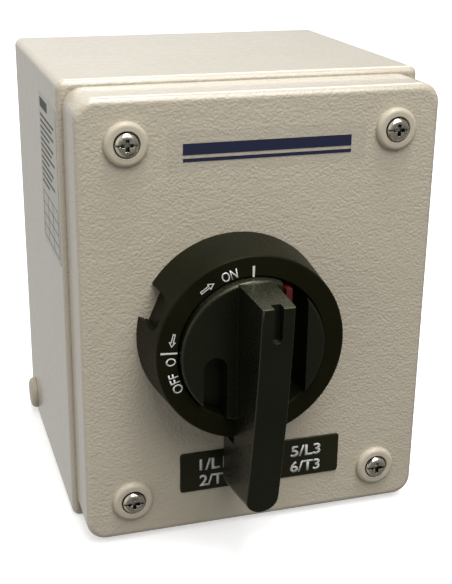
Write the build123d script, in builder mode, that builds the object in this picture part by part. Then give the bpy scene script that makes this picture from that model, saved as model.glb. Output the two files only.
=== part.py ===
from build123d import *
import math
import os

# Enclosed rotary motor switch: a folded steel box for wall mounting, a dish-shaped cover held by
# four captive screws, a black escutcheon ring with a lever handle in it, and a three-pole rotary
# load-break switch on a top-hat rail inside.
# Millimetres. +Z is up, +X is right as seen from the front, and the front faces -Y.
# The origin is the centre of the rear face, in the plane of the wall.
# "Front distance" f is the distance from the wall, so f = -Y.

# ---- driving dimensions -------------------------------------------------------------------
BOX_W, BOX_H, BOX_D = 159.0, 200.0, 127.4  # outside of the folded body
SHEET = 1.5  # steel sheet of body and cover
GASKET_T = 1.2
COVER_W, COVER_H = 154.8, 194.8
COVER_F = 154.0  # front face of the cover
SCREW_X, SCREW_Z = 57.4, 79.2  # cover screws, half spacings
AX_X, AX_Z = -12.2, -2.4  # axis of the handle and the switch
MOUNT_X, MOUNT_Z, MOUNT_R = 120.0, 160.0, 3.5  # wall fixing holes
ENTRY_X, ENTRY_F, ENTRY_R = 34.0, 68.0, 12.75  # cable entries in the bottom
FILM_W, FILM_H, FILM_X, FILM_Z = 85.0, 16.2, 1.6, 74.8  # clear film label
PLATE_W, PLATE_H, PLATE_X, PLATE_Z = 74.6, 19.0, 1.3, -69.4  # black legend plate
LABEL_W, LABEL_H, LABEL_F, LABEL_Z = 45.0, 68.0, 100.4, 54.0  # rating label on the left wall
PLUG_F, PLUG_Z = 12.4, -89.3  # snap plug low in the left wall

# Cover screws and their cup washers.
WASHER_R, WASHER_H, WASHER_ROUND = 9.0, 2.6, 1.9
CUP_R, CUP_F = 5.4, 1.1  # recess for the screw head and its floor above the cover
HEAD_R, HEAD_T, HEAD_ROUND = 5.0, 2.7, 2.1
SHANK_R, SCREW_HOLE_R = 3.0, 3.4

RAIL_F = 14.0  # front of the top-hat rail
DECK_F0, DECK_T, DECKS = 27.0, 15.0, 3  # switch pole decks
DECK_HALF_W, DECK_HALF_H = 23.0, 31.0
SHAFT = 6.0  # square shaft across flats

# Escutcheon ring and handle; heights are above the front of the cover.
RING_R0, RING_R1, RING_FACE, RING_BORE = 42.3, 39.9, 39.4, 31.1  # foot, shoulder, face, bore
RING_H = 24.6
RING_WALL = 2.3
WEB_H = 3.0  # bearing web across the bottom of the ring
BOSS_AT, BOSS_R, BOSSES = 36.2, 3.3, 4  # screw bosses in the ring
BOSS_START = 30.0  # degrees
SEAL_R0, SEAL_R1, SEAL_T = 18.8, 22.2, 1.1  # groove of the ring's seal
NOTCH_ANGLE, NOTCH_R, NOTCH_DEEP = 157.0, 7.5, 36.9  # padlock notch in the side of the ring
HUB_R, HUB_BORE = 11.97, 12.05  # running fit of the handle in the ring
KNOB_R, KNOB_BACK, KNOB_H = 30.6, 4.0, 28.2  # round base of the handle
KNOB_ROUND = 1.6  # rounded rim of the base
LEVER_BACK, LEVER_BLANK = 12.6, 60.0  # back of the lever's long end, and its blank before the crown
LEVER_UNDER = 25.4  # underside of the lever where it crosses the ring
LEVER_REACH = 42.3  # inner face of the long end, clear of the ring
CHANNEL_X, CHANNEL_W = 16.9, 11.0
POCKET_X, POCKET_W, POCKET_TOP, POCKET_FLOOR = -16.3, 10.0, -0.5, 17.0
GROOVE_W, GROOVE_FLOOR, GROOVE_END = 3.9, 50.4, 16.2
SLIDE_X, SLIDE_Z, SLIDE_T, SLIDE_L, SLIDE_H = 14.6, 21.4, 2.6, 8.0, 26.6
CROWN = ((32.0, 55.2), (-19.0, 49.7), (-72.0, 39.2))  # front of the lever: z from the axis, height
SOCKET_R, SOCKET_TOP = 7.44, 14.0

FLANGE_F = BOX_D
GASKET_F = BOX_D + GASKET_T
SEAT = COVER_F + 0.02  # back of everything that lies on the cover
HEAD_F = COVER_F + CUP_F + 0.04  # underside of the screw heads

axis_plane = Plane(origin=(AX_X, 0, AX_Z), x_dir=(1, 0, 0), z_dir=(0, 0, 1))  # for turned shapes
turn_axis = Axis((AX_X, 0, AX_Z), (0, 1, 0))

os.makedirs("parts", exist_ok=True)


def front(f):
    """Plane parallel to the wall at front distance f, local x to the right, local y up."""
    return Plane.XZ.offset(f)


def on_axis(f):
    """The same plane with its origin on the switch axis."""
    return Plane(origin=(AX_X, -f, AX_Z), x_dir=(1, 0, 0), z_dir=(0, -1, 0))


# ---- enclosure ----------------------------------------------------------------------------
# Folded and welded body: closed back, inward front flange with corner tabs for the rivet nuts,
# wall holes, two cable entries and one hole for a snap plug in the left wall.
with BuildPart() as enclosure_body:
    with BuildSketch(front(0)):
        RectangleRounded(BOX_W, BOX_H, 3.5)
    extrude(amount=BOX_D)
    fillet(enclosure_body.faces().sort_by(Axis.Y)[0].edges(), 2.9)
    fillet(enclosure_body.faces().sort_by(Axis.Y)[-1].edges(), 2.0)
    with BuildSketch(front(SHEET)):
        RectangleRounded(BOX_W - 2 * SHEET, BOX_H - 2 * SHEET, 2.0)
    extrude(amount=BOX_D - 2 * SHEET, mode=Mode.SUBTRACT)
    with BuildSketch(front(BOX_D - SHEET - 1)):
        Rectangle(132, 172)
        with GridLocations(132, 172, 2, 2):
            Rectangle(36, 33, mode=Mode.SUBTRACT)
    extrude(amount=5, mode=Mode.SUBTRACT)
    with BuildSketch(front(BOX_D - SHEET - 1)):
        with GridLocations(2 * SCREW_X, 2 * SCREW_Z, 2, 2):
            Circle(4.55)
    extrude(amount=5, mode=Mode.SUBTRACT)
    with BuildSketch(front(-1)):
        with GridLocations(MOUNT_X, MOUNT_Z, 2, 2):
            Circle(MOUNT_R)
    extrude(amount=5, mode=Mode.SUBTRACT)
    with BuildSketch(Plane.XY.offset(-BOX_H / 2 - 1)):
        with Locations((-ENTRY_X, -ENTRY_F), (ENTRY_X, -ENTRY_F)):
            Circle(ENTRY_R)
    extrude(amount=5, mode=Mode.SUBTRACT)
    with BuildSketch(Plane.YZ.offset(-BOX_W / 2 - 1)):
        with Locations((-PLUG_F, PLUG_Z)):
            Circle(5.6)
    extrude(amount=4, mode=Mode.SUBTRACT)
enclosure_body.part.label = "enclosure_body"
export_step(enclosure_body.part, "parts/enclosure_body.step")

# Snap plug with a domed head and a slotted stem.
with BuildPart() as wall_plug:
    plug_plane = Plane(origin=(-BOX_W / 2 - 0.02, -PLUG_F, PLUG_Z), x_dir=(0, 1, 0), z_dir=(-1, 0, 0))
    with BuildSketch(plug_plane):
        Circle(8.3)
    extrude(amount=3.0)
    fillet(wall_plug.faces().sort_by(Axis.X)[0].edges(), 2.6)
    with BuildSketch(plug_plane):
        Circle(5.4)
        Circle(3.9, mode=Mode.SUBTRACT)
        Rectangle(1.6, 12, mode=Mode.SUBTRACT)
    extrude(amount=-6.0)
    with BuildSketch(plug_plane.offset(-2.2)):
        Circle(6.1)
        Circle(3.9, mode=Mode.SUBTRACT)
        Rectangle(1.6, 14, mode=Mode.SUBTRACT)
    extrude(amount=-1.6)
wall_plug.part.label = "wall_plug"
export_step(wall_plug.part, "parts/wall_plug.step")

# Rivet nuts pressed into the corner tabs of the front flange.
with BuildPart() as rivet_nuts:
    with BuildSketch(front(FLANGE_F - 14)):
        with GridLocations(2 * SCREW_X, 2 * SCREW_Z, 2, 2):
            Circle(4.5)
    extrude(amount=14)
    with BuildSketch(front(FLANGE_F)):
        with GridLocations(2 * SCREW_X, 2 * SCREW_Z, 2, 2):
            Circle(6.5)
    extrude(amount=0.9)
    with BuildSketch(front(FLANGE_F - 4)):
        with GridLocations(2 * SCREW_X, 2 * SCREW_Z, 2, 2):
            Circle(5.6)
    extrude(amount=2.4)
    with BuildSketch(front(FLANGE_F - 15)):
        with GridLocations(2 * SCREW_X, 2 * SCREW_Z, 2, 2):
            Circle(SHANK_R + 0.06)
    extrude(amount=20, mode=Mode.SUBTRACT)
rivet_nuts.part.label = "rivet_nuts"
export_step(rivet_nuts.part, "parts/rivet_nuts.step")

# Rating label on the left wall.
with BuildPart() as rating_label:
    label_plane = Plane(origin=(-BOX_W / 2, -LABEL_F, LABEL_Z), x_dir=(0, -1, 0), z_dir=(-1, 0, 0))
    with BuildSketch(label_plane):
        RectangleRounded(LABEL_W, LABEL_H, 1.5)
    extrude(amount=0.15)
rating_label.part.label = "rating_label"
export_step(rating_label.part, "parts/rating_label.step")

# Earth stud with its weld flange, flat washer and two hexagon nuts.
EARTH = (56.0, -66.0)
with BuildPart() as earth_stud:
    with BuildSketch(front(SHEET)):
        with Locations(EARTH):
            Circle(4.2)
    extrude(amount=1.0)
    with BuildSketch(front(SHEET + 1.0)):
        with Locations(EARTH):
            Circle(2.95)
    extrude(amount=19.5)
    chamfer(earth_stud.faces().sort_by(Axis.Y)[0].edges(), 0.6)
earth_stud.part.label = "earth_stud"
export_step(earth_stud.part, "parts/earth_stud.step")

with BuildPart() as earth_washers:
    for f in (2.55, 9.65):
        with BuildSketch(front(f)):
            with Locations(EARTH):
                Circle(6.2)
                Circle(3.25, mode=Mode.SUBTRACT)
        extrude(amount=1.2)
earth_washers.part.label = "earth_washers"
export_step(earth_washers.part, "parts/earth_washers.step")

with BuildPart() as earth_nuts:
    for f in (4.0, 11.1):
        with BuildSketch(front(f)):
            with Locations(EARTH):
                RegularPolygon(5.0, 6, major_radius=False)
                Circle(3.0, mode=Mode.SUBTRACT)
        extrude(amount=5.0)
earth_nuts.part.label = "earth_nuts"
export_step(earth_nuts.part, "parts/earth_nuts.step")

# ---- cover ----------------------------------------------------------------------------------
# Pressed dish with a rolled front edge; open at the back where its rim sits on the gasket.
with BuildPart() as cover:
    with BuildSketch(front(GASKET_F)):
        RectangleRounded(COVER_W, COVER_H, 8.5)
    extrude(amount=COVER_F - GASKET_F)
    fillet(cover.faces().sort_by(Axis.Y)[0].edges(), 3.0)
    with BuildSketch(front(GASKET_F - 1)):
        RectangleRounded(COVER_W - 2 * SHEET, COVER_H - 2 * SHEET, 7.0)
    extrude(amount=COVER_F - GASKET_F - SHEET + 1, mode=Mode.SUBTRACT)
    with BuildSketch(front(COVER_F - 5)):
        with GridLocations(2 * SCREW_X, 2 * SCREW_Z, 2, 2):
            Circle(SCREW_HOLE_R)
    extrude(amount=10, mode=Mode.SUBTRACT)
    with BuildSketch(on_axis(COVER_F - 5)):
        Circle(17.0)
        with PolarLocations(BOSS_AT, BOSSES, start_angle=BOSS_START):
            Circle(2.3)
    extrude(amount=10, mode=Mode.SUBTRACT)
cover.part.label = "cover"
export_step(cover.part, "parts/cover.step")

# Foam gasket under the rim of the cover.
with BuildPart() as cover_gasket:
    with BuildSketch(front(FLANGE_F + 0.02)):
        RectangleRounded(COVER_W - 1.0, COVER_H - 1.0, 8.0)
        RectangleRounded(COVER_W - 12.0, COVER_H - 12.0, 3.0, mode=Mode.SUBTRACT)
    extrude(amount=GASKET_T - 0.04)
cover_gasket.part.label = "cover_gasket"
export_step(cover_gasket.part, "parts/cover_gasket.step")

# Domed plastic cup washers.
with BuildPart() as cup_washers:
    with BuildSketch(front(SEAT)):
        with GridLocations(2 * SCREW_X, 2 * SCREW_Z, 2, 2):
            Circle(WASHER_R)
    extrude(amount=WASHER_H)
    washer_tops = cup_washers.faces().sort_by(Axis.Y)[:4]
    fillet(washer_tops.edges(), WASHER_ROUND)
    with BuildSketch(front(COVER_F + CUP_F)):
        with GridLocations(2 * SCREW_X, 2 * SCREW_Z, 2, 2):
            Circle(CUP_R)
    extrude(amount=4, mode=Mode.SUBTRACT)
    with BuildSketch(front(COVER_F - 1)):
        with GridLocations(2 * SCREW_X, 2 * SCREW_Z, 2, 2):
            Circle(SCREW_HOLE_R)
    extrude(amount=5, mode=Mode.SUBTRACT)
    cup_lips = cup_washers.edges().filter_by(GeomType.CIRCLE).group_by(Axis.Y)[0]
    fillet([lip for lip in cup_lips if lip.radius < CUP_R + 0.1], 0.4)
cup_washers.part.label = "cup_washers"
export_step(cup_washers.part, "parts/cup_washers.step")

# Domed machine screws with a cross recess and a slot, long enough to reach the rivet nuts.
with BuildPart() as cover_screws:
    with BuildSketch(front(FLANGE_F - 12)):
        with GridLocations(2 * SCREW_X, 2 * SCREW_Z, 2, 2):
            Circle(SHANK_R)
    extrude(amount=HEAD_F - FLANGE_F + 12)
    with BuildSketch(front(HEAD_F)):
        with GridLocations(2 * SCREW_X, 2 * SCREW_Z, 2, 2):
            Circle(HEAD_R)
    extrude(amount=HEAD_T)
    head_tops = cover_screws.faces().sort_by(Axis.Y)[:4]
    fillet(head_tops.edges(), HEAD_ROUND)
    with BuildSketch(front(HEAD_F + 0.9)):
        with GridLocations(2 * SCREW_X, 2 * SCREW_Z, 2, 2):
            Rectangle(1.6, 5.0)
            Rectangle(5.0, 1.6)
    extrude(amount=4, mode=Mode.SUBTRACT)
    with BuildSketch(front(HEAD_F + 1.8)):
        with GridLocations(2 * SCREW_X, 2 * SCREW_Z, 2, 2):
            Rectangle(12, 0.9)
    extrude(amount=4, mode=Mode.SUBTRACT)
cover_screws.part.label = "cover_screws"
export_step(cover_screws.part, "parts/cover_screws.step")

# Nylon rings that keep the screws in the cover when it is off.
with BuildPart() as captive_rings:
    with BuildSketch(front(COVER_F - SHEET - 1.6)):
        with GridLocations(2 * SCREW_X, 2 * SCREW_Z, 2, 2):
            Circle(5.5)
            Circle(SHANK_R + 0.05, mode=Mode.SUBTRACT)
    extrude(amount=1.5)
captive_rings.part.label = "captive_rings"
export_step(captive_rings.part, "parts/captive_rings.step")

# Clear film label across the top of the cover.
with BuildPart() as front_film:
    with BuildSketch(front(SEAT)):
        with Locations((FILM_X, FILM_Z)):
            RectangleRounded(FILM_W, FILM_H, 1.0)
    extrude(amount=0.15)
front_film.part.label = "front_film"
export_step(front_film.part, "parts/front_film.step")

# Black legend plate below the handle.
with BuildPart() as legend_plate:
    with BuildSketch(front(SEAT)):
        with Locations((PLATE_X, PLATE_Z)):
            RectangleRounded(PLATE_W, PLATE_H, 1.4)
    extrude(amount=0.8)
    fillet(legend_plate.faces().sort_by(Axis.Y)[0].edges(), 0.25)
legend_plate.part.label = "legend_plate"
export_step(legend_plate.part, "parts/legend_plate.step")

# ---- escutcheon ring ------------------------------------------------------------------------
ring_top = -COVER_F - RING_H
under_top = ring_top + 2.6

# Moulded ring, hollow from behind, with screw bosses, a bearing web and a padlock notch.
with BuildPart() as handle_ring:
    with BuildSketch(axis_plane):
        with BuildLine():
            Polyline(
                (HUB_BORE, -SEAT), (HUB_BORE, -COVER_F - WEB_H), (RING_BORE, -COVER_F - WEB_H),
                (RING_BORE, ring_top + 0.5), (RING_BORE + 0.5, ring_top),
                (RING_FACE, ring_top), (RING_R1, ring_top + 0.5), (RING_R0, -SEAT),
                (RING_R0 - RING_WALL, -SEAT), (RING_R1 - RING_WALL, under_top),
                (RING_BORE + RING_WALL, under_top), (RING_BORE + RING_WALL, -SEAT),
                (SEAL_R1, -SEAT), (SEAL_R1, -COVER_F - SEAL_T),
                (SEAL_R0, -COVER_F - SEAL_T), (SEAL_R0, -SEAT),
                close=True,
            )
        make_face()
    revolve(axis=turn_axis)
    with BuildSketch(on_axis(SEAT)):
        with PolarLocations(BOSS_AT, BOSSES, start_angle=BOSS_START):
            Circle(BOSS_R)
    extrude(amount=RING_H - 2)
    with BuildSketch(on_axis(SEAT)):
        with PolarLocations(BOSS_AT, BOSSES, start_angle=BOSS_START):
            Circle(1.75)
    extrude(amount=14, mode=Mode.SUBTRACT)
    # walls around the padlock notch, then the notch itself: a slot with a round end
    with BuildSketch(on_axis(SEAT)):
        with Locations(Location((0, 0), NOTCH_ANGLE)):
            with Locations((BOSS_AT, 0)):
                Rectangle(7.2, 19.5)
        Circle(RING_R1 - 0.6, mode=Mode.INTERSECT)
    extrude(amount=RING_H - 1)
    notch_turn = math.radians(NOTCH_ANGLE)
    notch_plane = Plane(
        origin=(AX_X, -COVER_F, AX_Z),
        x_dir=(-math.sin(notch_turn), 0, math.cos(notch_turn)),
        z_dir=(math.cos(notch_turn), 0, math.sin(notch_turn)),
    )
    with BuildSketch(notch_plane.offset(NOTCH_DEEP)):
        Rectangle(2 * NOTCH_R, 27.6)
        with Locations((0, -13.8), (0, 13.8)):
            Circle(NOTCH_R)
    extrude(amount=12, mode=Mode.SUBTRACT)
handle_ring.part.label = "handle_ring"
export_step(handle_ring.part, "parts/handle_ring.step")

with BuildPart() as ring_seal:
    with BuildSketch(on_axis(SEAT)):
        Circle(SEAL_R1 - 0.1)
        Circle(SEAL_R0 + 0.1, mode=Mode.SUBTRACT)
    extrude(amount=SEAL_T - 0.05)
ring_seal.part.label = "ring_seal"
export_step(ring_seal.part, "parts/ring_seal.step")

# Pan-head screws from inside the cover into the ring's bosses.
with BuildPart() as ring_screws:
    with BuildSketch(on_axis(COVER_F - SHEET - 2.4)):
        with PolarLocations(BOSS_AT, BOSSES, start_angle=BOSS_START):
            Circle(3.6)
    extrude(amount=2.38)
    with BuildSketch(on_axis(COVER_F - SHEET - 0.1)):
        with PolarLocations(BOSS_AT, BOSSES, start_angle=BOSS_START):
            Circle(1.7)
    extrude(amount=13)
    with BuildSketch(on_axis(COVER_F - SHEET - 2.5)):
        with PolarLocations(BOSS_AT, BOSSES, start_angle=BOSS_START):
            Rectangle(0.8, 4.2)
            Rectangle(4.2, 0.8)
    extrude(amount=1.3, mode=Mode.SUBTRACT)
ring_screws.part.label = "ring_screws"
export_step(ring_screws.part, "parts/ring_screws.step")

# ---- handle ---------------------------------------------------------------------------------
with BuildPart() as thrust_washer:
    with BuildSketch(on_axis(COVER_F + WEB_H)):
        Circle(20.0)
        Circle(12.4, mode=Mode.SUBTRACT)
    extrude(amount=KNOB_BACK - WEB_H)
thrust_washer.part.label = "thrust_washer"
export_step(thrust_washer.part, "parts/thrust_washer.step")

# Lever and round base in one moulding. The lever's long end reaches past the ring and turns
# down outside it; its short end carries the pointer groove. Both ends and sides have draft.
lever_outlines = (
    # height, half width, pointer end, shoulders and middle of the round end
    (LEVER_BACK, 7.8, 29.8, -64.4, -70.4),
    (LEVER_BLANK, 6.4, 28.9, -58.0, -64.2),
)
heel_z = -54.6  # middle of the hollow in the long end
with BuildPart() as handle_lever:
    for height, half, tip, shoulder, toe in lever_outlines:
        with BuildSketch(on_axis(COVER_F + height)):
            with BuildLine():
                Polyline((-half, shoulder), (-half, tip), (half, tip), (half, shoulder))
                ThreePointArc((half, shoulder), (0, toe), (-half, shoulder))
            make_face()
    loft(ruled=True)
    with BuildSketch(on_axis(COVER_F + LEVER_BACK - 1)):
        Rectangle(30, 2 * LEVER_REACH)
    extrude(amount=LEVER_UNDER - LEVER_BACK + 1, mode=Mode.SUBTRACT)
    # crown: the front of the lever falls away towards the long end
    with BuildSketch(Plane.YZ.offset(AX_X)):
        crown_points = [(-COVER_F - height, AX_Z + z) for z, height in CROWN]
        above = -COVER_F - LEVER_BLANK - 15
        with BuildLine():
            ThreePointArc(*crown_points)
            Polyline(
                crown_points[2], (above, crown_points[2][1]),
                (above, crown_points[0][1]), crown_points[0],
            )
        make_face()
    extrude(amount=20, both=True, mode=Mode.SUBTRACT)
    crown = handle_lever.faces().filter_by(GeomType.CYLINDER).sort_by(SortBy.AREA)[-1]
    fillet(crown.edges(), 0.6)
    # round base with a rounded rim, and its hub
    knob_face = -COVER_F - KNOB_H
    inset = KNOB_ROUND * (1 - math.sqrt(0.5))
    with BuildSketch(axis_plane):
        with BuildLine():
            Polyline(
                (KNOB_R - KNOB_ROUND, knob_face), (0, knob_face), (0, -COVER_F + 7.0),
                (HUB_R, -COVER_F + 7.0), (HUB_R, -COVER_F - KNOB_BACK),
                (KNOB_R, -COVER_F - KNOB_BACK), (KNOB_R, knob_face + KNOB_ROUND),
            )
            ThreePointArc(
                (KNOB_R, knob_face + KNOB_ROUND), (KNOB_R - inset, knob_face + inset),
                (KNOB_R - KNOB_ROUND, knob_face),
            )
        make_face()
    revolve(axis=turn_axis)
    # finger pocket on the left, with a round upper end and open at the rim
    with BuildSketch(on_axis(COVER_F + POCKET_FLOOR)):
        with Locations((POCKET_X, POCKET_TOP - POCKET_W / 2)):
            Circle(POCKET_W / 2)
        with Locations((POCKET_X, POCKET_TOP - POCKET_W / 2 - KNOB_R / 2)):
            Rectangle(POCKET_W, KNOB_R)
    extrude(amount=KNOB_H - POCKET_FLOOR + 1, mode=Mode.SUBTRACT)
    # channel on the right, open along the whole lever
    with BuildSketch(on_axis(COVER_F + 10)):
        with Locations((CHANNEL_X, 0)):
            Rectangle(CHANNEL_W, 66)
    extrude(amount=24, mode=Mode.SUBTRACT)
    # pointer groove, a slot with a round end
    with BuildSketch(on_axis(COVER_F + GROOVE_FLOOR)):
        with Locations((0, GROOVE_END)):
            Circle(GROOVE_W / 2)
        with Locations((0, GROOVE_END + 10)):
            Rectangle(GROOVE_W, 20)
    extrude(amount=9, mode=Mode.SUBTRACT)
    # hollow core of the lever and the underside of the base
    with BuildSketch(on_axis(COVER_F + SOCKET_TOP + 0.4)):
        Rectangle(9.0, 50.0)
    extrude(amount=29.0, mode=Mode.SUBTRACT)
    with BuildSketch(on_axis(COVER_F + LEVER_BACK - 1)):
        with Locations((0, heel_z)):
            Rectangle(9.0, 18.0)
    extrude(amount=24.8, mode=Mode.SUBTRACT)
    with BuildSketch(on_axis(COVER_F + KNOB_BACK - 1)):
        Circle(KNOB_R - 2.4)
        Circle(HUB_R + 0.03, mode=Mode.SUBTRACT)
    extrude(amount=5.0, mode=Mode.SUBTRACT)
    # slot in the channel floor for the foot of the padlock slide
    with BuildSketch(on_axis(COVER_F + KNOB_BACK - 1)):
        with Locations((SLIDE_X, SLIDE_Z - 1)):
            Rectangle(SLIDE_T + 0.4, SLIDE_L - 1)
    extrude(amount=8.0, mode=Mode.SUBTRACT)
    # socket seat and circlip groove
    with BuildSketch(on_axis(COVER_F - 8)):
        Circle(SOCKET_R + 0.06)
    extrude(amount=SOCKET_TOP + 8.4, mode=Mode.SUBTRACT)
    with BuildSketch(on_axis(COVER_F - 1.7)):
        Circle(HUB_R + 1)
        Circle(10.6, mode=Mode.SUBTRACT)
    extrude(amount=1.35, mode=Mode.SUBTRACT)
handle_lever.part.label = "handle_lever"
export_step(handle_lever.part, "parts/handle_lever.step")

# Red padlock slide in the channel beside the lever, pulled out towards the user.
with BuildPart() as padlock_slide:
    with BuildSketch(on_axis(COVER_F + 10.2)):
        with Locations((SLIDE_X, SLIDE_Z)):
            RectangleRounded(SLIDE_T, SLIDE_L, 0.5)
    extrude(amount=SLIDE_H - 10.2)
    with BuildSketch(on_axis(COVER_F + 8.2)):
        with Locations((SLIDE_X, SLIDE_Z - 1)):
            Rectangle(SLIDE_T, SLIDE_L - 1.6)
    extrude(amount=3.0)
    hole_plane = Plane(origin=(AX_X, -COVER_F - 18.5, AX_Z + SLIDE_Z), x_dir=(0, 1, 0), z_dir=(1, 0, 0))
    with BuildSketch(hole_plane):
        Circle(2.6)
    extrude(amount=20, mode=Mode.SUBTRACT)
padlock_slide.part.label = "padlock_slide"
export_step(padlock_slide.part, "parts/padlock_slide.step")

# Metal socket for the square shaft, pressed into the hub.
with BuildPart() as shaft_socket:
    with BuildSketch(on_axis(COVER_F - 7.0)):
        Circle(SOCKET_R)
    extrude(amount=SOCKET_TOP + 7.0)
    with BuildSketch(on_axis(COVER_F - 8.6)):
        Circle(10.0)
    extrude(amount=1.6)
    with BuildSketch(on_axis(COVER_F - 9)):
        Rectangle(SHAFT + 0.16, SHAFT + 0.16)
    extrude(amount=21.0, mode=Mode.SUBTRACT)
shaft_socket.part.label = "shaft_socket"
export_step(shaft_socket.part, "parts/shaft_socket.step")

# Circlip behind the ring's web that keeps the handle in the ring.
with BuildPart() as hub_circlip:
    with BuildSketch(on_axis(COVER_F - 1.6)):
        Circle(15.4)
        Circle(10.65, mode=Mode.SUBTRACT)
        with Locations((0, 13)):
            Rectangle(7.0, 8.0, mode=Mode.SUBTRACT)
    extrude(amount=1.15)
hub_circlip.part.label = "hub_circlip"
export_step(hub_circlip.part, "parts/hub_circlip.step")

# ---- rail and terminals in the box ----------------------------------------------------------
RAIL_X0, RAIL_X1 = -70.0, 58.0
RAIL_HOLES = (-62.0, 50.0)
with BuildPart() as rail_standoffs:
    for x in RAIL_HOLES:
        with BuildSketch(front(SHEET + 0.02)):
            with Locations((x, AX_Z)):
                Circle(5.0)
                Circle(2.45, mode=Mode.SUBTRACT)
        extrude(amount=4.96)
rail_standoffs.part.label = "rail_standoffs"
export_step(rail_standoffs.part, "parts/rail_standoffs.step")

with BuildPart() as top_hat_rail:
    with BuildSketch(Plane.YZ.offset(RAIL_X0)):
        with Locations((-7.0, AX_Z)):
            Rectangle(1.0, 27.0)
        with Locations((-10.25, AX_Z - 13.0), (-10.25, AX_Z + 13.0)):
            Rectangle(7.5, 1.0)
        with Locations((-13.5, AX_Z - 15.0), (-13.5, AX_Z + 15.0)):
            Rectangle(1.0, 5.0)
    extrude(amount=RAIL_X1 - RAIL_X0)
    with BuildSketch(front(5)):
        with Locations(*[(x, AX_Z) for x in RAIL_HOLES]):
            Circle(2.75)
    extrude(amount=4, mode=Mode.SUBTRACT)
top_hat_rail.part.label = "top_hat_rail"
export_step(top_hat_rail.part, "parts/top_hat_rail.step")

with BuildPart() as rail_screws:
    for x in RAIL_HOLES:
        with BuildSketch(front(2.0)):
            with Locations((x, AX_Z)):
                Circle(2.38)
        extrude(amount=5.6)
        with BuildSketch(front(7.52)):
            with Locations((x, AX_Z)):
                Circle(4.6)
        extrude(amount=3.0)
        with BuildSketch(front(9.0)):
            with Locations((x, AX_Z)):
                Rectangle(1.1, 5.2)
                Rectangle(5.2, 1.1)
        extrude(amount=3.0, mode=Mode.SUBTRACT)
rail_screws.part.label = "rail_screws"
export_step(rail_screws.part, "parts/rail_screws.step")

# Earth and neutral terminal block on the right-hand end of the rail.
TB_X, TB_F = 29.0, 44.0
with BuildPart() as terminal_housing:
    with BuildSketch(front(RAIL_F + 0.05)):
        with Locations((TB_X, AX_Z)):
            Rectangle(26.0, 46.0)
    extrude(amount=TB_F - RAIL_F)
    with BuildSketch(front(10.4)):
        with Locations((TB_X, AX_Z + 20.6), (TB_X, AX_Z - 20.6)):
            Rectangle(26.0, 4.8)
    extrude(amount=3.8)
    with BuildSketch(front(TB_F - 13.0)):
        with Locations((TB_X, AX_Z)):
            Rectangle(22.2, 36.4)
    extrude(amount=14, mode=Mode.SUBTRACT)
terminal_housing.part.label = "terminal_housing"
export_step(terminal_housing.part, "parts/terminal_housing.step")

with BuildPart() as terminal_bars:
    with BuildSketch(front(TB_F - 12.98)):
        with Locations((TB_X - 5.6, AX_Z), (TB_X + 5.6, AX_Z)):
            Rectangle(8.0, 35.0)
    extrude(amount=9.0)
    with BuildSketch(front(TB_F - 12.0)):
        with Locations((TB_X, AX_Z)):
            with GridLocations(11.2, 11.0, 2, 3):
                Circle(1.95)
    extrude(amount=12, mode=Mode.SUBTRACT)
    with BuildSketch(Plane.YZ.offset(TB_X - 12)):
        with Locations(*[(-TB_F + 9.0, AX_Z + z) for z in (-11.0, 0.0, 11.0)]):
            Circle(1.7)
    extrude(amount=24, mode=Mode.SUBTRACT)
terminal_bars.part.label = "terminal_bars"
export_step(terminal_bars.part, "parts/terminal_bars.step")

with BuildPart() as terminal_bar_screws:
    with BuildSketch(front(TB_F - 6.5)):
        with Locations((TB_X, AX_Z)):
            with GridLocations(11.2, 11.0, 2, 3):
                Circle(1.9)
    extrude(amount=3.0)
    with BuildSketch(front(TB_F - 3.9)):
        with Locations((TB_X, AX_Z)):
            with GridLocations(11.2, 11.0, 2, 3):
                Circle(3.2)
    extrude(amount=2.6)
    with BuildSketch(front(TB_F - 2.4)):
        with Locations((TB_X, AX_Z)):
            with GridLocations(11.2, 11.0, 2, 3):
                Rectangle(8, 0.9)
    extrude(amount=3, mode=Mode.SUBTRACT)
terminal_bar_screws.part.label = "terminal_bar_screws"
export_step(terminal_bar_screws.part, "parts/terminal_bar_screws.step")

# ---- rotary switch --------------------------------------------------------------------------
bolt_at = [(x, z) for x in (-19.4, 19.4) for z in (-24.0, 24.0)]
stack_front = DECK_F0 + DECKS * DECK_T  # front of the last deck
DETENT_T = 14.0

# Foot with a fixed hook over the top lip of the rail and pockets for the bolt nuts.
with BuildPart() as switch_foot:
    with BuildSketch(on_axis(RAIL_F + 0.05)):
        Rectangle(2 * DECK_HALF_W, 2 * DECK_HALF_H)
    extrude(amount=DECK_F0 - RAIL_F - 0.07)
    with BuildSketch(on_axis(10.4)):
        with Locations((0, 20.6)):
            Rectangle(30.0, 5.0)
    extrude(amount=3.8)
    with BuildSketch(on_axis(10.4)):
        with Locations((0, 17.0)):
            Rectangle(30.0, 3.0)
    extrude(amount=2.2)
    with BuildSketch(on_axis(RAIL_F)):
        with Locations(*bolt_at):
            RegularPolygon(3.7, 6, major_radius=False)
    extrude(amount=5.6, mode=Mode.SUBTRACT)
    with BuildSketch(on_axis(RAIL_F)):
        with Locations(*bolt_at):
            Circle(2.2)
        Circle(5.2)
    extrude(amount=20, mode=Mode.SUBTRACT)
switch_foot.part.label = "switch_foot"
export_step(switch_foot.part, "parts/switch_foot.step")

# Sliding latch that hooks the bottom lip of the rail.
with BuildPart() as rail_latch:
    with BuildSketch(on_axis(10.4)):
        with Locations((0, -25.0)):
            Rectangle(14.0, 14.0)
        with Locations((0, -35.0)):
            Rectangle(9.0, 8.0)
        with Locations((0, -36.0)):
            Rectangle(5.0, 2.0, mode=Mode.SUBTRACT)
    extrude(amount=3.5)
    with BuildSketch(on_axis(10.4)):
        with Locations((0, -17.0)):
            Rectangle(14.0, 3.0)
    extrude(amount=2.2)
rail_latch.part.label = "rail_latch"
export_step(rail_latch.part, "parts/rail_latch.step")

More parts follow.
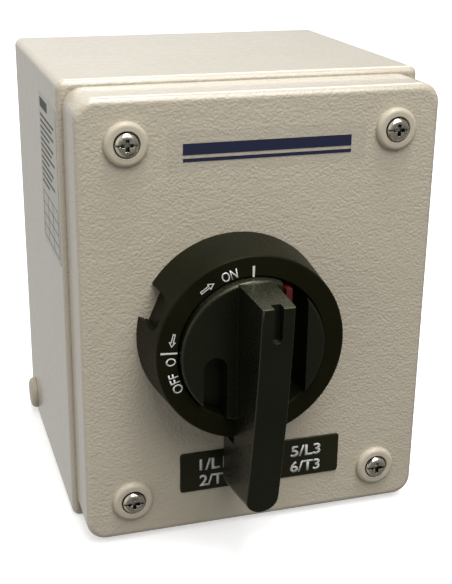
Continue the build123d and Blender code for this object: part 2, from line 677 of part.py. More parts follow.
# Pole decks: arc chamber, channels for the fixed contacts and ribs on the outside.
for n in range(DECKS):
    f0 = DECK_F0 + n * DECK_T
    with BuildPart() as pole_deck:
        with BuildSketch(on_axis(f0)):
            Rectangle(2 * DECK_HALF_W, 2 * DECK_HALF_H)
            with GridLocations(25.2, 2 * DECK_HALF_H, 2, 2):
                Rectangle(9.0, 5.0, mode=Mode.SUBTRACT)
        extrude(amount=DECK_T - 0.02)
        with BuildSketch(on_axis(f0 + 2)):
            Circle(17.6)
        extrude(amount=DECK_T, mode=Mode.SUBTRACT)
        with BuildSketch(on_axis(f0 + 4)):
            Rectangle(8.5, 2 * DECK_HALF_H + 2)
        extrude(amount=DECK_T, mode=Mode.SUBTRACT)
        with BuildSketch(on_axis(f0 - 1)):
            Circle(6.07)
            with Locations(*bolt_at):
                Circle(2.2)
        extrude(amount=DECK_T + 2, mode=Mode.SUBTRACT)
    pole_deck.part.label = f"pole_deck_{n + 1}"
    export_step(pole_deck.part, f"parts/pole_deck_{n + 1}.step")

    # rotor: two discs on one core with a slot between them for the moving contact
    with BuildPart() as rotor:
        with BuildSketch(on_axis(f0 + 3)):
            Circle(12.5)
        extrude(amount=11.0)
        with BuildSketch(on_axis(f0 + 0.1)):
            Circle(6.0)
        extrude(amount=3.0)
        with BuildSketch(on_axis(f0 + 8.45)):
            Rectangle(6.3, 30)
            Circle(8.3)
            Circle(5.0, mode=Mode.SUBTRACT)
        extrude(amount=2.1, mode=Mode.SUBTRACT)
        with BuildSketch(on_axis(f0)):
            Rectangle(SHAFT + 0.1, SHAFT + 0.1)
        extrude(amount=DECK_T, mode=Mode.SUBTRACT)
    rotor.part.label = f"rotor_{n + 1}"
    export_step(rotor.part, f"parts/rotor_{n + 1}.step")

# Moving contact bridges, one in each rotor.
with BuildPart() as moving_contacts:
    for n in range(DECKS):
        with BuildSketch(on_axis(DECK_F0 + n * DECK_T + 8.5)):
            Rectangle(6.0, 33.0)
            Circle(8.0)
            Circle(5.15, mode=Mode.SUBTRACT)
        extrude(amount=2.0)
moving_contacts.part.label = "moving_contacts"
export_step(moving_contacts.part, "parts/moving_contacts.step")

# Fixed contacts: a pair of jaws on a terminal block, top and bottom of every deck.
with BuildPart() as fixed_contacts:
    for n in range(DECKS):
        f0 = DECK_F0 + n * DECK_T
        with BuildSketch(on_axis(f0 + 4.2)):
            with Locations((0, 25.2), (0, -25.2)):
                Rectangle(7.8, 9.2)
        extrude(amount=10.4)
        for f in (f0 + 7.3, f0 + 10.6):
            with BuildSketch(on_axis(f)):
                with Locations((0, 17.1), (0, -17.1)):
                    Rectangle(6.0, 8.0)
            extrude(amount=1.1)
    with BuildSketch(Plane.XY.offset(AX_Z - 40)):
        with Locations(*[(AX_X, -(DECK_F0 + n * DECK_T + 9.4)) for n in range(DECKS)]):
            Circle(1.95)
    extrude(amount=16.5, mode=Mode.SUBTRACT)
    with BuildSketch(Plane.XY.offset(AX_Z + 23.5)):
        with Locations(*[(AX_X, -(DECK_F0 + n * DECK_T + 9.4)) for n in range(DECKS)]):
            Circle(1.95)
    extrude(amount=16.5, mode=Mode.SUBTRACT)
fixed_contacts.part.label = "fixed_contacts"
export_step(fixed_contacts.part, "parts/fixed_contacts.step")

# Terminal screws, reached from above and below.
with BuildPart() as terminal_screws:
    for side in (1, -1):
        screw_plane = Plane(origin=(AX_X, 0, AX_Z + side * 24.0), x_dir=(1, 0, 0), z_dir=(0, 0, side))
        spots = [(0, -side * (DECK_F0 + n * DECK_T + 9.4)) for n in range(DECKS)]
        with BuildSketch(screw_plane):
            with Locations(*spots):
                Circle(1.88)
        extrude(amount=6.0)
        with BuildSketch(screw_plane.offset(5.84)):
            with Locations(*spots):
                Circle(3.4)
        extrude(amount=2.4)
        with BuildSketch(screw_plane.offset(7.2)):
            with Locations(*spots):
                Rectangle(8, 0.9)
        extrude(amount=2.4, mode=Mode.SUBTRACT)
terminal_screws.part.label = "terminal_screws"
export_step(terminal_screws.part, "parts/terminal_screws.step")

# Snap-action housing in front of the decks.
with BuildPart() as snap_housing:
    with BuildSketch(on_axis(stack_front)):
        Rectangle(2 * DECK_HALF_W, 2 * DECK_HALF_H - 2)
    extrude(amount=DETENT_T - 0.02)
    with BuildSketch(on_axis(stack_front + 2)):
        Circle(14.6)
        Rectangle(42.4, 5.0)
    extrude(amount=DETENT_T, mode=Mode.SUBTRACT)
    with BuildSketch(on_axis(stack_front - 1)):
        Circle(6.07)
        with Locations(*bolt_at):
            Circle(2.2)
    extrude(amount=DETENT_T + 2, mode=Mode.SUBTRACT)
snap_housing.part.label = "snap_housing"
export_step(snap_housing.part, "parts/snap_housing.step")

# Star wheel with four notches for the two rollers.
with BuildPart() as star_wheel:
    with BuildSketch(on_axis(stack_front + 2.3)):
        Circle(10.0)
        with PolarLocations(11.2, 4):
            Circle(2.4, mode=Mode.SUBTRACT)
    extrude(amount=9.0)
    with BuildSketch(on_axis(stack_front + 0.1)):
        Circle(6.0)
    extrude(amount=2.3)
    with BuildSketch(on_axis(stack_front)):
        Rectangle(SHAFT + 0.1, SHAFT + 0.1)
    extrude(amount=DETENT_T, mode=Mode.SUBTRACT)
star_wheel.part.label = "star_wheel"
export_step(star_wheel.part, "parts/star_wheel.step")

with BuildPart() as snap_rollers:
    with BuildSketch(on_axis(stack_front + 2.4)):
        with Locations((12.3, 0), (-12.3, 0)):
            Circle(2.1)
    extrude(amount=8.8)
snap_rollers.part.label = "snap_rollers"
export_step(snap_rollers.part, "parts/snap_rollers.step")

# Coil springs pushing the rollers against the star wheel, two on each side of the axis.
with BuildPart() as snap_springs:
    for row in (4.7, 9.3):
        seat = (AX_X + 14.9, -(stack_front + row), AX_Z)
        with BuildLine() as coil:
            Helix(pitch=1.6, height=5.6, radius=1.7, center=seat, direction=(1, 0, 0))
        with BuildSketch(Plane(origin=coil.line @ 0, z_dir=coil.line % 0)):
            Circle(0.35)
        sweep(path=coil.line, is_frenet=True)
    add(snap_springs.part.rotate(turn_axis, 180))
snap_springs.part.label = "snap_springs"
export_step(snap_springs.part, "parts/snap_springs.step")

with BuildPart() as front_plate:
    with BuildSketch(on_axis(stack_front + DETENT_T)):
        Rectangle(2 * DECK_HALF_W, 2 * DECK_HALF_H - 2)
        Circle(5.2, mode=Mode.SUBTRACT)
        with Locations(*bolt_at):
            Circle(2.2, mode=Mode.SUBTRACT)
    extrude(amount=2.5)
front_plate.part.label = "front_plate"
export_step(front_plate.part, "parts/front_plate.step")

bolt_head_f = stack_front + DETENT_T + 2.52
with BuildPart() as stack_bolts:
    with BuildSketch(on_axis(16.6)):
        with Locations(*bolt_at):
            Circle(1.95)
    extrude(amount=bolt_head_f - 16.6)
    with BuildSketch(on_axis(bolt_head_f)):
        with Locations(*bolt_at):
            Circle(3.5)
    extrude(amount=2.6)
    with BuildSketch(on_axis(bolt_head_f + 1.3)):
        with Locations(*bolt_at):
            Rectangle(0.9, 4.4)
            Rectangle(4.4, 0.9)
    extrude(amount=3, mode=Mode.SUBTRACT)
stack_bolts.part.label = "stack_bolts"
export_step(stack_bolts.part, "parts/stack_bolts.step")

with BuildPart() as stack_nuts:
    with BuildSketch(on_axis(16.4)):
        with Locations(*bolt_at):
            RegularPolygon(3.5, 6, major_radius=False)
            Circle(2.0, mode=Mode.SUBTRACT)
    extrude(amount=3.1)
stack_nuts.part.label = "stack_nuts"
export_step(stack_nuts.part, "parts/stack_nuts.step")

# Square shaft from the rearmost rotor to the socket in the handle.
with BuildPart() as square_shaft:
    with BuildSketch(on_axis(DECK_F0 + 0.3)):
        Rectangle(SHAFT, SHAFT)
    extrude(amount=COVER_F + 9.0 - DECK_F0)
    chamfer(square_shaft.faces().sort_by(Axis.Y)[0].edges(), 0.7)
square_shaft.part.label = "square_shaft"
export_step(square_shaft.part, "parts/square_shaft.step")

# Push-on collar that keeps the shaft from sliding forward.
with BuildPart() as shaft_collar:
    with BuildSketch(on_axis(bolt_head_f + 0.3)):
        Circle(6.6)
        Rectangle(SHAFT + 0.1, SHAFT + 0.1, mode=Mode.SUBTRACT)
    extrude(amount=5.0)
    chamfer(shaft_collar.edges().filter_by(GeomType.CIRCLE), 0.5)
shaft_collar.part.label = "shaft_collar"
export_step(shaft_collar.part, "parts/shaft_collar.step")
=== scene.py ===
import math

import bmesh
import bpy
from mathutils import Euler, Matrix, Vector


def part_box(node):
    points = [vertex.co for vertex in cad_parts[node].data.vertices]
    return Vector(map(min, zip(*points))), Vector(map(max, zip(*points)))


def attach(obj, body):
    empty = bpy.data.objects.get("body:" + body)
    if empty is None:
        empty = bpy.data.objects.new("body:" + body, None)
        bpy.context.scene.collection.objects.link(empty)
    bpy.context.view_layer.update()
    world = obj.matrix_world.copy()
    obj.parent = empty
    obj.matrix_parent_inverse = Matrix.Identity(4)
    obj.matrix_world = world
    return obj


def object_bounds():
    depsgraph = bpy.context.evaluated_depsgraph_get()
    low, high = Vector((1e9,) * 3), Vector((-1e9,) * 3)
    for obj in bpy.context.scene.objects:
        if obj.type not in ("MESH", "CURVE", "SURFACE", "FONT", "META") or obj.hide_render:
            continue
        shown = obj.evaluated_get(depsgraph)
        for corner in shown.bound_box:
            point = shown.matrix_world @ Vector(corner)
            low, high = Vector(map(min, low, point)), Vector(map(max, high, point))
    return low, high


# The looks of the enclosed motor switch: materials for every part of the frame, the printed
# marks on the handle ring, the legend plate, the film and the rating label, and a small studio.

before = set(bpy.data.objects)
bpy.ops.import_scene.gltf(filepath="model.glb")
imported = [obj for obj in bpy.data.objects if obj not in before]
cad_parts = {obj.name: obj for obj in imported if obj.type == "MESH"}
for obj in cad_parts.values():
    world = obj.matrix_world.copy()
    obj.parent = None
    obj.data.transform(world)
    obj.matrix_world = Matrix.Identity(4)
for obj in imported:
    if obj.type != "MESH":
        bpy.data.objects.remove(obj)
cad_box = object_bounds()

MM = 0.001
INK = 0.04 * MM  # thickness of a printed mark
LIFT = 0.01 * MM  # gap under a printed mark


# ---- materials ----------------------------------------------------------------------------
class Look:
    """A Principled material, with short calls for the nodes that feed it. Sizes are in mm."""

    def __init__(self, name, **values):
        self.material = bpy.data.materials.new(name)
        self.material.use_nodes = True
        self.tree = self.material.node_tree
        self.shader = self.tree.nodes["Principled BSDF"]
        self.place = self.node("ShaderNodeTexCoord").outputs["Object"]
        for socket, value in values.items():
            self.shader.inputs[socket.replace("_", " ")].default_value = value

    def node(self, kind, **settings):
        made = self.tree.nodes.new(kind)
        for key, value in settings.items():
            setattr(made, key, value)
        return made

    def feed(self, source, target):
        self.tree.links.new(source, target)

    def noise(self, size, detail=2.0, distortion=0.0, stretch=(1, 1, 1)):
        """Noise with features of about this size, longer along an axis whose stretch is larger."""
        mapping = self.node("ShaderNodeMapping")
        mapping.inputs["Scale"].default_value = [1 / s for s in stretch]
        self.feed(self.place, mapping.inputs["Vector"])
        texture = self.node("ShaderNodeTexNoise")
        texture.inputs["Scale"].default_value = 1 / (size * MM)
        texture.inputs["Detail"].default_value = detail
        texture.inputs["Distortion"].default_value = distortion
        self.feed(mapping.outputs["Vector"], texture.inputs["Vector"])
        return texture.outputs["Fac"]

    def range(self, factor, low, high, start=0.3, end=0.7):
        """Maps a factor between start and end to a value between low and high."""
        mapped = self.node("ShaderNodeMapRange")
        for socket, value in zip(("From Min", "From Max", "To Min", "To Max"), (start, end, low, high)):
            mapped.inputs[socket].default_value = value
        self.feed(factor, mapped.inputs["Value"])
        return mapped.outputs["Result"]

    def colours(self, factor, *stops):
        """Colour ramp: stops are (position, (r, g, b))."""
        ramp = self.node("ShaderNodeValToRGB")
        while len(ramp.color_ramp.elements) < len(stops):
            ramp.color_ramp.elements.new(0.5)
        for element, (position, rgb) in zip(ramp.color_ramp.elements, stops):
            element.position = position
            element.color = (*rgb, 1)
        self.feed(factor, ramp.inputs["Fac"])
        return ramp.outputs["Color"]

    def over(self, factor, below, above):
        """Mixes two colours, each a socket or (r, g, b)."""
        mix = self.node("ShaderNodeMix", data_type="RGBA")
        self.feed(factor, mix.inputs["Factor"])
        for socket, colour in ((mix.inputs[6], below), (mix.inputs[7], above)):
            if isinstance(colour, tuple):
                socket.default_value = (*colour, 1)
            else:
                self.feed(colour, socket)
        return mix.outputs[2]

    def edges(self, radius, sharp=0.86):
        """1 along the edges and 0 on the faces."""
        bevel = self.node("ShaderNodeBevel", samples=4)
        bevel.inputs["Radius"].default_value = radius * MM
        true = self.node("ShaderNodeNewGeometry").outputs["Normal"]
        dot = self.node("ShaderNodeVectorMath", operation="DOT_PRODUCT")
        self.feed(bevel.outputs["Normal"], dot.inputs[0])
        self.feed(true, dot.inputs[1])
        return self.range(dot.outputs["Value"], 1, 0, sharp, 0.995)

    def upward(self, start, end):
        """0 where the surface's own normal rises less than start, 1 where it rises more than end."""
        coordinates = self.node("ShaderNodeTexCoord")
        split = self.node("ShaderNodeSeparateXYZ")
        self.feed(coordinates.outputs["Normal"], split.inputs[0])
        return self.range(split.outputs["Z"], 0, 1, start, end)

    def relief(self, *layers, round_edges=0.0):
        """Bump from (height, depth) layers, over edges rounded by that radius."""
        normal = None
        if round_edges:
            bevel = self.node("ShaderNodeBevel", samples=4)
            bevel.inputs["Radius"].default_value = round_edges * MM
            normal = bevel.outputs["Normal"]
        for height, depth in layers:
            bump = self.node("ShaderNodeBump")
            bump.inputs["Strength"].default_value = 1
            bump.inputs["Distance"].default_value = depth * MM
            self.feed(height, bump.inputs["Height"])
            if normal:
                self.feed(normal, bump.inputs["Normal"])
            normal = bump.outputs["Normal"]
        self.feed(normal, self.shader.inputs["Normal"])

    def colour(self, source):
        self.feed(source, self.shader.inputs["Base Color"])

    def roughness(self, source):
        self.feed(source, self.shader.inputs["Roughness"])


def powder_paint():
    """Cream powder coat with an orange-peel skin."""
    look = Look("cream_powder_paint", Specular_IOR_Level=0.5, Coat_Weight=1.0, Coat_Roughness=0.14)
    patches = look.noise(45, detail=3)
    grain = look.noise(0.9, detail=2)
    tone = look.colours(patches, (0.3, (0.515, 0.460, 0.358)), (0.7, (0.548, 0.492, 0.387)))
    look.colour(look.over(look.range(grain, 0, 0.35), tone, (0.455, 0.405, 0.31)))
    look.roughness(look.range(look.noise(3.0), 0.32, 0.46))
    peel = look.noise(1.15, detail=0.8, distortion=0.3, stretch=(1.1, 1, 1))
    swell = look.noise(4.5, detail=1)
    look.relief((swell, 0.2), (peel, 0.32))
    return look.material


def moulded_plastic(
    name, dark, light, gloss, texture=0.02, wear_and_highlight=0.25, round_edges=0.2, dust_and_sheen=None, **values
):
    """Injection-moulded plastic: eroded texture, faint flow tones, paler edges that are partly rubbed wear
    and partly a painted highlight, and a paler tone on the faces that look up that is partly fine dust and
    partly a painted sheen."""
    look = Look(name, **values)
    tone = look.colours(look.noise(18, detail=3), (0.3, dark), (0.7, light))
    # Faces that look up turn paler: partly fine dust, partly a painted sheen of the light from above.
    if dust_and_sheen:
        dust_and_sheen_specks = look.colours(look.noise(0.7), (0.3, light), (0.6, dust_and_sheen))
        tone = look.over(look.upward(0.55, 0.95), tone, dust_and_sheen_specks)
    # Edges turn paler: partly rubbed wear, partly a painted highlight along the rims.
    rubbed_and_highlit = look.node("ShaderNodeMath", operation="MULTIPLY")
    look.feed(look.edges(0.35), rubbed_and_highlit.inputs[0])
    look.feed(look.range(look.noise(2.5, detail=4), 0.0, wear_and_highlight), rubbed_and_highlit.inputs[1])
    pale = tuple(min(1.0, c * 1.5 + 0.03) for c in light)
    look.colour(look.over(rubbed_and_highlit.outputs[0], tone, pale))
    look.roughness(look.range(look.noise(1.2, detail=3), gloss - 0.06, gloss + 0.08))
    look.relief((look.noise(0.28, detail=2), texture), round_edges=round_edges)
    return look.material


RECESS_SHADE_GRIME = (0.035, 0.018, 0.010)  # brown shade painted into the recesses of metal, in a dirt tone


def plated_steel(name, dark, light, gloss, recess_shade_grime=0.0):
    """Plated or bare metal with fine scratches and a cloudy finish, and painted shade in a brown dirt tone
    in its recesses.
    """
    look = Look(name, Metallic=1.0)
    cloud = look.noise(2.6, detail=4, distortion=0.6)
    scratches = look.noise(0.35, detail=3, stretch=(1, 1, 9))
    tone = look.colours(cloud, (0.35, dark), (0.65, light))
    tone = look.over(look.range(scratches, 0, 0.35, 0.45, 0.7), tone, dark)
    if recess_shade_grime:
        # Ambient occlusion pulls the recesses towards a brown: painted shade, in a dirt tone.
        hollow = look.node("ShaderNodeAmbientOcclusion", samples=6)
        hollow.inputs["Distance"].default_value = 2.0 * MM
        tone = look.over(look.range(hollow.outputs["AO"], recess_shade_grime, 0, 0.5, 0.85), tone, RECESS_SHADE_GRIME)
    look.colour(tone)
    look.roughness(look.range(cloud, gloss, gloss + 0.14))
    look.relief((scratches, 0.006), (look.noise(0.9), 0.01), round_edges=0.12)
    return look.material


def soft_rubber():
    """Closed-cell gasket foam: matt, dark and finely pitted."""
    look = Look("gasket_foam", Specular_IOR_Level=0.25)
    pits = look.noise(0.5, detail=4)
    look.colour(look.colours(pits, (0.35, (0.012, 0.012, 0.012)), (0.65, (0.035, 0.034, 0.032))))
    look.roughness(look.range(pits, 0.75, 0.95))
    look.relief((pits, 0.12))
    return look.material


def clear_film():
    """Thin clear film: the paint shows through, a little smoother and glossier."""
    look = Look("clear_film", Alpha=0.08, Specular_IOR_Level=0.5, IOR=1.5)
    look.colour(look.colours(look.noise(6, detail=3), (0.3, (0.58, 0.55, 0.48)), (0.7, (0.64, 0.61, 0.54))))
    look.roughness(look.range(look.noise(9, detail=3), 0.2, 0.34))
    look.relief((look.noise(2.0, detail=1, distortion=1.0), 0.05), (look.noise(11, detail=1), 0.06))
    return look.material


def label_foil():
    """Matt silver polyester label."""
    look = Look("label_foil", Metallic=0.15, Specular_IOR_Level=0.45)
    brushed = look.noise(0.6, detail=3, stretch=(1, 14, 1))
    look.colour(look.colours(brushed, (0.3, (0.50, 0.49, 0.44)), (0.7, (0.60, 0.59, 0.54))))
    look.roughness(look.range(brushed, 0.3, 0.42))
    look.relief((look.noise(7, detail=1), 0.05), (brushed, 0.004))
    return look.material


def printed(name, dark, light, gloss=0.45):
    """Screen-printed ink: slightly uneven in tone, with a fine skin."""
    look = Look(name, Specular_IOR_Level=0.4)
    cover = look.noise(0.5, detail=4)
    look.colour(look.colours(cover, (0.3, dark), (0.65, light)))
    look.roughness(look.range(cover, gloss, gloss + 0.15))
    look.relief((look.noise(0.3, detail=2), 0.01))
    return look.material


zinc = plated_steel("bright_zinc", (0.50, 0.50, 0.49), (0.80, 0.80, 0.78), 0.16)
# The cover screws carry painted shade in their recesses.
screw_zinc = plated_steel("screw_zinc", (0.62, 0.59, 0.49), (0.86, 0.82, 0.70), 0.18, recess_shade_grime=0.95)
spring_steel = plated_steel("spring_steel", (0.20, 0.20, 0.21), (0.34, 0.34, 0.35), 0.26)
brass = plated_steel("contact_brass", (0.62, 0.42, 0.17), (0.82, 0.60, 0.28), 0.22)
copper = plated_steel("contact_copper", (0.60, 0.27, 0.14), (0.80, 0.42, 0.26), 0.24)
paint = powder_paint()
cream_plastic = moulded_plastic(
    "cream_plastic", (0.49, 0.44, 0.345), (0.53, 0.475, 0.375), 0.36, texture=0.004, wear_and_highlight=0.1,
    Subsurface_Weight=0.08, Subsurface_Scale=0.002,
)
black_plastic = moulded_plastic(
    "black_plastic", (0.0065, 0.0065, 0.0026), (0.0095, 0.0095, 0.004), 0.42, texture=0.03, wear_and_highlight=0.3,
    Specular_IOR_Level=0.07, Specular_Tint=(1.0, 1.0, 0.75, 1.0),
)
# The lever's edges carry a strong painted highlight and its upward faces a painted sheen, besides wear and
# dust.
handle_plastic = moulded_plastic(
    "handle_plastic", (0.0035, 0.004, 0.002), (0.0055, 0.006, 0.003), 0.3, texture=0.012, wear_and_highlight=0.5,
    dust_and_sheen=(0.030, 0.030, 0.019), Specular_IOR_Level=0.45, Specular_Tint=(1.0, 1.0, 0.7, 1.0),
)
red_plastic = moulded_plastic("red_plastic", (0.07, 0.006, 0.005), (0.10, 0.008, 0.006), 0.38)
grey_plastic = moulded_plastic("grey_plastic", (0.10, 0.105, 0.11), (0.13, 0.135, 0.14), 0.48)
foot_plastic = moulded_plastic("foot_plastic", (0.045, 0.047, 0.05), (0.06, 0.062, 0.066), 0.46)
rotor_plastic = moulded_plastic("rotor_plastic", (0.46, 0.40, 0.30), (0.52, 0.46, 0.35), 0.42)
nylon = moulded_plastic(
    "white_nylon", (0.66, 0.65, 0.60), (0.74, 0.73, 0.68), 0.4, wear_and_highlight=0.1,
    Subsurface_Weight=0.15, Subsurface_Scale=0.002,
)
plate_plastic = moulded_plastic(
    "legend_laminate", (0.009, 0.009, 0.004), (0.012, 0.012, 0.0055), 0.34, texture=0.006, wear_and_highlight=0.3,
    Specular_IOR_Level=0.4, Specular_Tint=(1.0, 1.0, 0.7, 1.0),
)

LOOKS = {
    paint: ("enclosure_body", "cover"),
    cream_plastic: ("wall_plug", "cup_washers"),
    black_plastic: ("handle_ring",),
    handle_plastic: ("handle_lever",),
    red_plastic: ("padlock_slide",),
    plate_plastic: ("legend_plate",),
    clear_film(): ("front_film",),
    label_foil(): ("rating_label",),
    soft_rubber(): ("cover_gasket", "ring_seal"),
    zinc: (
        "rivet_nuts", "earth_stud", "earth_washers", "earth_nuts", "ring_screws",
        "rail_standoffs", "top_hat_rail", "rail_screws", "terminal_bar_screws", "terminal_screws",
        "stack_bolts", "stack_nuts", "square_shaft", "shaft_socket", "snap_rollers",
    ),
    screw_zinc: ("cover_screws",),
    spring_steel: ("hub_circlip", "snap_springs", "shaft_collar"),
    brass: ("terminal_bars", "fixed_contacts"),
    copper: ("moving_contacts",),
    grey_plastic: ("pole_deck_1", "pole_deck_2", "pole_deck_3", "snap_housing", "terminal_housing"),
    foot_plastic: ("switch_foot", "rail_latch", "front_plate"),
    rotor_plastic: ("rotor_1", "rotor_2", "rotor_3", "star_wheel"),
    nylon: ("captive_rings", "thrust_washer"),
}
for material, names in LOOKS.items():
    for name in names:
        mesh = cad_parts[name].data
        mesh.materials.clear()
        mesh.materials.append(material)

white_ink = printed("white_ink", (0.55, 0.55, 0.52), (0.70, 0.70, 0.67))
blue_ink = printed("blue_ink", (0.006, 0.008, 0.032), (0.010, 0.013, 0.046), gloss=0.55)
grey_ink = printed("grey_ink", (0.03, 0.032, 0.03), (0.055, 0.057, 0.052))


# ---- printed marks --------------------------------------------------------------------------
def mark(name, bm, spot, body, material):
    """Turns a flat outline, drawn in x and y, into a thin solid at a place on the object. The
    spot function maps a point of the drawing and its height to a point of the object."""
    made = bmesh.ops.extrude_face_region(bm, geom=bm.faces[:])
    for v in made["geom"]:
        if isinstance(v, bmesh.types.BMVert):
            v.co.z = INK
    for v in bm.verts:
        v.co = spot(v.co)
    bmesh.ops.recalc_face_normals(bm, faces=bm.faces[:])
    mesh = bpy.data.meshes.new(name)
    bm.to_mesh(mesh)
    bm.free()
    mesh.materials.append(material)
    piece = bpy.data.objects.new(name, mesh)
    bpy.context.scene.collection.objects.link(piece)
    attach(piece, body)
    return piece


def words(text, width, height, weight=0.0):
    """Flat lettering in Blender's own font, centred on the origin, of that size."""
    curve = bpy.data.curves.new(text, "FONT")
    curve.body = text
    curve.offset = weight
    curve.resolution_u = 6
    holder = bpy.data.objects.new(text, curve)
    bpy.context.scene.collection.objects.link(holder)
    bpy.context.view_layer.update()
    flat = bpy.data.meshes.new_from_object(holder.evaluated_get(bpy.context.evaluated_depsgraph_get()))
    bm = bmesh.new()
    bm.from_mesh(flat)
    bmesh.ops.remove_doubles(bm, verts=bm.verts[:], dist=1e-5)
    bpy.data.objects.remove(holder)
    bpy.data.curves.remove(curve)
    bpy.data.meshes.remove(flat)
    low = Vector([min(v.co[i] for v in bm.verts) for i in range(3)])
    high = Vector([max(v.co[i] for v in bm.verts) for i in range(3)])
    for v in bm.verts:
        v.co.x = (v.co.x - (low.x + high.x) / 2) * width * MM / (high.x - low.x)
        v.co.y = (v.co.y - (low.y + high.y) / 2) * height * MM / (high.y - low.y)
        v.co.z = 0
    return bm


def polygon(bm, points):
    """Adds a flat face with these corners, in mm."""
    return bm.faces.new([bm.verts.new((x * MM, y * MM, 0)) for x, y in points])


def bar(bm, x, y, width, height):
    """Adds a rectangle centred on x, y."""
    w, h = width / 2, height / 2
    polygon(bm, [(x - w, y - h), (x + w, y - h), (x + w, y + h), (x - w, y + h)])


def outlined(bm, points, line):
    """Adds the outline of a closed shape, drawn with a line of that width inside it."""
    face = polygon(bm, points)
    bm.normal_update()
    bmesh.ops.inset_individual(bm, faces=[face], thickness=line * MM, use_even_offset=True)
    bm.faces.remove(face)


ring_low, ring_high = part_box("handle_ring")
axis_x, axis_z = (ring_low.x + ring_high.x) / 2, (ring_low.z + ring_high.z) / 2


def around_ring(angle, radius):
    """Places a drawing on the ring's face with its top outwards: x runs clockwise."""
    def spot(co):
        turn = math.radians(angle) - co.x / (radius * MM)
        out = radius * MM + co.y
        across, up = out * math.cos(turn), out * math.sin(turn)
        return Vector((axis_x + across, ring_low.y - LIFT - co.z, axis_z + up))
    return spot


def on_front(surface, x, z):
    """Places a drawing upright on a surface that faces the front."""
    return lambda co: Vector((x + co.x, surface - LIFT - co.z, z + co.y))


LEGEND_R = 34.0  # middle of the printed legends
LEGEND_HEIGHT = 4.2
ARROW_LINE = 0.38
ARROW = [(-3.4, -0.62), (0.7, -0.62), (0.7, -1.5), (3.4, 0), (0.7, 1.5), (0.7, 0.62), (-3.4, 0.62)]


def ring_mark(name, drawing, angle, radius=LEGEND_R):
    """Prints a drawing in white on the ring's face, centred at that angle and radius."""
    mark(name, drawing, around_ring(angle, radius), "cover", white_ink)


LEGENDS = (("legend_on", "ON", 6.6, 107), ("legend_off", "OFF", 9.0, 199.5), ("legend_o", "O", 3.4, 183))
for name, text, width, angle in LEGENDS:
    ring_mark(name, words(text, width, LEGEND_HEIGHT, 0.006), angle)

drawing = bmesh.new()
bar(drawing, 0, 0, 0.95, 4.6)
ring_mark("legend_i", drawing, 90, LEGEND_R - 0.6)

drawing = bmesh.new()
bar(drawing, 0, 0, 0.75, 6.9)
ring_mark("stop_line", drawing, 176.6, LEGEND_R + 0.8)

drawing = bmesh.new()
outlined(drawing, ARROW, ARROW_LINE)
ring_mark("arrow_to_on", drawing, 124)

drawing = bmesh.new()
outlined(drawing, [(-x * 0.85, y) for x, y in ARROW][::-1], ARROW_LINE)
ring_mark("arrow_to_off", drawing, 167.5)

# Two lines of terminal numbers on the legend plate.
plate_low, plate_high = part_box("legend_plate")
plate_x = (plate_low.x + plate_high.x) / 2
TERMINALS = (("1/L1   3/L2   5/L3", -66.1), ("2/T1   4/T2   6/T3", -74.0))
LINE_WIDTH, LINE_HEIGHT = 57, 5.6
for row, (text, z) in enumerate(TERMINALS, start=1):
    lettering = words(text, LINE_WIDTH, LINE_HEIGHT, 0.022)
    place = on_front(plate_low.y, plate_x, z * MM)
    mark(f"plate_line_{row}", lettering, place, "cover", white_ink)

# Plain blue stripes on the film.
film_low, film_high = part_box("front_film")
film_x, film_z = (film_low.x + film_high.x) / 2, (film_low.z + film_high.z) / 2
drawing = bmesh.new()
bar(drawing, 0, 0.8, 72, 4.6)
bar(drawing, 0, -3.6, 72, 1.4)
mark("film_stripes", drawing, on_front(film_low.y, film_x, film_z), "cover", blue_ink)

# Lines and fields on the rating label; they spell nothing.
label_low, label_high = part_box("rating_label")
label_y, label_z = (label_low.y + label_high.y) / 2, (label_low.z + label_high.z) / 2


def on_left_wall(co):
    """Places a drawing on the rating label, its right-hand side towards the front."""
    return Vector((label_low.x - LIFT - co.z, label_y - co.x, label_z + co.y))


drawing = bmesh.new()
bar(drawing, -9.5, 29.6, 20, 4.2)
LINE_SHARES = (0.92, 0.78, 0.88, 0.6, 0.84, 0.72, 0.9, 0.55, 0.8, 0.68, 0.86, 0.5)
for n, share in enumerate(LINE_SHARES):
    bar(drawing, -20.0 + 20.0 * share, 24.0 - 2.7 * n, 40 * share, 1.0)
for n in range(5):
    bar(drawing, 0, -10.5 - 5.2 * n, 40, 0.35)
for x in (-19.8, -6.5, 6.5, 19.8):
    bar(drawing, x, -20.9, 0.35, 20.8)
mark("rating_lines", drawing, on_left_wall, "enclosure", grey_ink)


# ---- studio ---------------------------------------------------------------------------------
CAMERA_AT = Vector((-0.1478, -0.5716, 0.1777))
CAMERA_TILT, CAMERA_ROLL, CAMERA_HEADING = 69.48, -0.67, -17.29  # degrees
LENS = 68.86

camera = bpy.data.objects.new("camera", bpy.data.cameras.new("camera"))
camera.data.lens = LENS
camera.data.sensor_width = 36
camera.data.clip_start = 0.01
camera.location = CAMERA_AT
camera.rotation_euler = Euler([math.radians(a) for a in (CAMERA_TILT, CAMERA_ROLL, CAMERA_HEADING)])
bpy.context.scene.collection.objects.link(camera)
bpy.context.scene.camera = camera


def stage_piece(name, bm, look, height):
    """A staged surface that shows its own tone and doesn't colour or light the object."""
    mesh = bpy.data.meshes.new(name)
    bm.to_mesh(mesh)
    bm.free()
    mesh.materials.append(look.material)
    piece = bpy.data.objects.new(name, mesh)
    piece.location.z = height
    piece.visible_diffuse = False
    piece.visible_glossy = False
    bpy.context.scene.collection.objects.link(piece)
    return piece


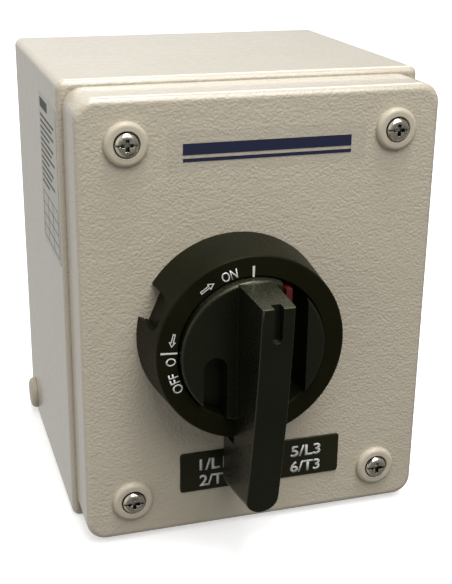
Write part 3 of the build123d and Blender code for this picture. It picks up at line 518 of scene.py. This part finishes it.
def studio_floor(radius=9.0, wall=8.0):
    """A wide, pale, matt floor under the object and a pale wall far behind it, all round."""
    ground = cad_box[0].z - 0.1 * MM
    pale, paler = (0.80, 0.80, 0.80), (0.82, 0.82, 0.82)
    paper = Look("floor_paper", Specular_IOR_Level=0.1, Roughness=0.9, Emission_Strength=0.45)
    paper.shader.inputs["Emission Color"].default_value = (1, 1, 1, 1)
    fibres = paper.noise(2.0, detail=4)
    paper.colour(paper.colours(fibres, (0.3, pale), (0.7, paler)))
    bm = bmesh.new()
    bmesh.ops.create_circle(bm, cap_ends=True, radius=radius, segments=96)
    stage_piece("floor", bm, paper, ground)

    haze = Look("backdrop_haze", Specular_IOR_Level=0.0, Roughness=1.0, Emission_Strength=0.95)
    haze.shader.inputs["Emission Color"].default_value = (1, 1, 1, 1)
    haze.colour(haze.colours(haze.noise(900, detail=1), (0.3, pale), (0.7, paler)))
    bm = bmesh.new()
    bmesh.ops.create_cone(bm, cap_ends=False, radius1=radius, radius2=radius, depth=wall, segments=96)
    backdrop = stage_piece("backdrop", bm, haze, ground + wall / 2)
    backdrop.visible_shadow = False


def lamp(name, kind, place, target, **settings):
    """A light of that kind at a place, turned towards a target."""
    light = bpy.data.objects.new(name, bpy.data.lights.new(name, kind))
    for key, value in settings.items():
        setattr(light.data, key, value)
    light.location = place
    light.rotation_euler = (Vector(target) - Vector(place)).to_track_quat("-Z", "Y").to_euler()
    bpy.context.scene.collection.objects.link(light)


def studio_world(dim, bright, below, bright_side):
    """Soft surroundings: dim in front, bright on one side, and that share of it below the horizon."""
    world = bpy.data.worlds.new("studio")
    world.use_nodes = True
    nodes, links = world.node_tree.nodes, world.node_tree.links

    def blend(value, start, end, low, high):
        mapped = nodes.new("ShaderNodeMapRange")
        for socket, setting in (("From Min", start), ("From Max", end), ("To Min", low), ("To Max", high)):
            mapped.inputs[socket].default_value = setting
        links.new(value, mapped.inputs["Value"])
        return mapped.outputs["Result"]

    direction = nodes.new("ShaderNodeTexCoord").outputs["Generated"]
    sideways = nodes.new("ShaderNodeVectorMath")
    sideways.operation = "DOT_PRODUCT"
    sideways.inputs[1].default_value = Vector(bright_side).normalized()
    links.new(direction, sideways.inputs[0])
    height = nodes.new("ShaderNodeSeparateXYZ")
    links.new(direction, height.inputs[0])
    strength = nodes.new("ShaderNodeMath")
    strength.operation = "MULTIPLY"
    links.new(blend(sideways.outputs["Value"], -0.1, 0.5, dim, bright), strength.inputs[0])
    links.new(blend(height.outputs["Z"], -0.08, 0.02, below, 1.0), strength.inputs[1])
    links.new(strength.outputs[0], nodes["Background"].inputs["Strength"])
    nodes["Background"].inputs["Color"].default_value = (1.0, 0.99, 0.965, 1)
    bpy.context.scene.world = world


studio_floor()
studio_world(dim=0.26, bright=0.80, below=0.65, bright_side=(-0.85, 0.5, 0))
lamp("overhead", "SUN", (0.1, -0.14, 1), (0, 0, 0), energy=1.8, angle=math.radians(18))
lamp("key", "AREA", (0.12, -0.87, 0.93), (0, -0.15, 0), energy=11.4, size=0.9)
lamp("back_fill", "AREA", (0.45, 0.95, 1.15), (0, 0.05, 0), energy=9.0, size=1.0)
bpy.context.scene.view_settings.view_transform = "Standard"
